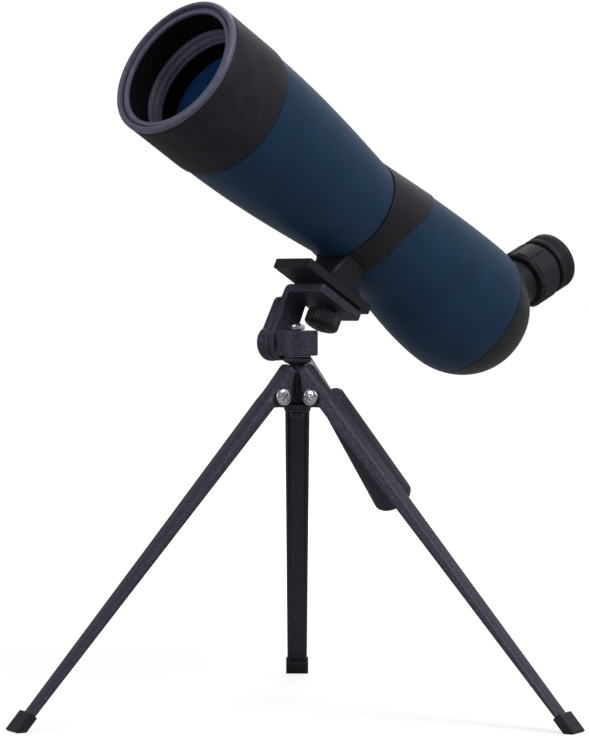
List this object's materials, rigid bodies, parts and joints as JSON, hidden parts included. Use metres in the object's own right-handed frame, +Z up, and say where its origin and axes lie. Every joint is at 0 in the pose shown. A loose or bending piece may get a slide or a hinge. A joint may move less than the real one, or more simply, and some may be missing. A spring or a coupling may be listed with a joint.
{
  "type": "spotting scope on tabletop tripod",
  "caption": "Angled spotting scope with zoom eyepiece on a small folding tabletop tripod with a pan and tilt head.",
  "frame": {"origin": "middle of the footprint, at the height of the foot soles", "axes": "+Z up, +Y towards the rear leg, +X to the right when the two front legs face the viewer"},
  "size_m": [0.3016, 0.2537, 0.3635],
  "materials": {
    "armour": "matt",
    "rim": "satin",
    "blue": "soft matt",
    "plastic": "satin",
    "inner_metal": "matt black anodised",
    "glass": "polished and coated",
    "powder_coat": "fine textured",
    "rubber": "matt",
    "chrome": "polished",
    "brass": "machined"
  },
  "bodies": {
    "root": {"hub": "powder_coat", "hub_cap": "powder_coat", "pan_bolt": "inner_metal", "pan_nut": "chrome", "pan_washer": "chrome", "left_pivot_screw": "chrome", "left_pivot_nut": "chrome", "right_pivot_screw": "chrome", "right_pivot_nut": "chrome", "rear_pivot_screw": "chrome", "rear_pivot_nut": "chrome"},
    "left_leg": {"left_leg": "powder_coat", "left_foot": "rubber"},
    "right_leg": {"right_leg": "powder_coat", "right_foot": "rubber"},
    "rear_leg": {"rear_leg": "powder_coat", "rear_foot": "rubber"},
    "pan_head": {"pan_block": "powder_coat", "tilt_pivot_bolt": "chrome"},
    "scope": {"tilt_bracket": "powder_coat", "platform_pad": "rubber", "scope_foot": "plastic", "thread_insert": "brass", "mount_collar": "plastic", "front_barrel": "blue", "objective_hood": "armour", "front_rim": "rim", "objective_cell": "inner_metal", "objective_front_lens": "glass", "objective_rear_lens": "glass", "lens_retaining_ring": "inner_metal", "front_trim_ring": "inner_metal", "light_baffle": "inner_metal", "prism_housing": "blue", "rear_cover": "plastic", "prism_shelf": "inner_metal", "erecting_prism": "glass", "deflecting_prism": "glass", "eyepiece_socket": "plastic", "eyepiece_barrel": "plastic", "field_lens": "glass", "eye_lens": "glass", "eye_lens_ring": "inner_metal", "eyecup": "rubber"},
    "handle": {"handle_rod": "chrome", "handle_grip": "plastic"},
    "camera_screw": {"camera_screw": "plastic"},
    "focus_knob": {"focus_shaft": "chrome", "focus_knob": "armour", "focus_knob_cap": "plastic"},
    "focus_carriage": {"focus_carriage": "inner_metal", "focus_lens": "glass", "focus_rod": "chrome"},
    "zoom_ring": {"zoom_ring": "rubber"},
    "zoom_cell": {"zoom_lens_cell": "inner_metal", "zoom_lens": "glass"}
  },
  "joints": [
    {"name": "left_leg_fold", "type": "hinge", "parent": "root", "child": "left_leg", "pos_m": [-0.01686, -0.04255, 0.1635], "axis": [0.4924, -0.8704, 0], "range_deg": [0, 36]},
    {"name": "right_leg_fold", "type": "hinge", "parent": "root", "child": "right_leg", "pos_m": [0.00519, -0.04294, 0.1635], "axis": [0.5225, 0.8526, 0], "range_deg": [0, 36]},
    {"name": "rear_leg_fold", "type": "hinge", "parent": "root", "child": "rear_leg", "pos_m": [-0.00572, -0.02345, 0.1635], "axis": [-1, 0, 0], "range_deg": [0, 36]},
    {"name": "pan", "type": "hinge", "parent": "root", "child": "pan_head", "pos_m": [-0.00572, -0.03625, 0.1912], "axis": [0, 0, 1], "continuous": true},
    {"name": "tilt", "type": "hinge", "parent": "pan_head", "child": "scope", "pos_m": [-0.00572, -0.03625, 0.1912], "axis": [0.7096, -0.7046, 0], "range_deg": [-11, 73]},
    {"name": "handle_twist", "type": "hinge", "parent": "scope", "child": "handle", "pos_m": [-0.01158, -0.01725, 0.2], "axis": [0.4651, 0.4683, -0.7513], "range_deg": [0, 180]},
    {"name": "camera_screw_turn", "type": "hinge", "parent": "scope", "child": "camera_screw", "pos_m": [0.00088, -0.02734, 0.18522], "axis": [0.3373, 0.3397, 0.878], "continuous": true},
    {"name": "focus_turn", "type": "hinge", "parent": "scope", "child": "focus_knob", "pos_m": [0.07378, 0.04608, 0.22562], "axis": [-0.7096, 0.7046, 0], "range_deg": [-330, 330]},
    {"name": "focus_slide", "type": "slide", "parent": "scope", "child": "focus_carriage", "axis": [-0.6187, -0.623, 0.4787], "range_m": [-0.00575, 0.00575]},
    {"name": "zoom_turn", "type": "hinge", "parent": "scope", "child": "zoom_ring", "pos_m": [0.09174, 0.06416, 0.20717], "axis": [0.6477, 0.6522, 0.3939], "range_deg": [-75, 75]},
    {"name": "zoom_slide", "type": "slide", "parent": "scope", "child": "zoom_cell", "axis": [0.6477, 0.6522, 0.3939], "range_m": [-0.0052, 0.0052]}
  ],
  "couplings": [
    {"joint": "focus_turn", "follows": "focus_slide", "rad_per_m": 1000},
    {"joint": "zoom_turn", "follows": "zoom_slide", "rad_per_m": 250}
  ]
}
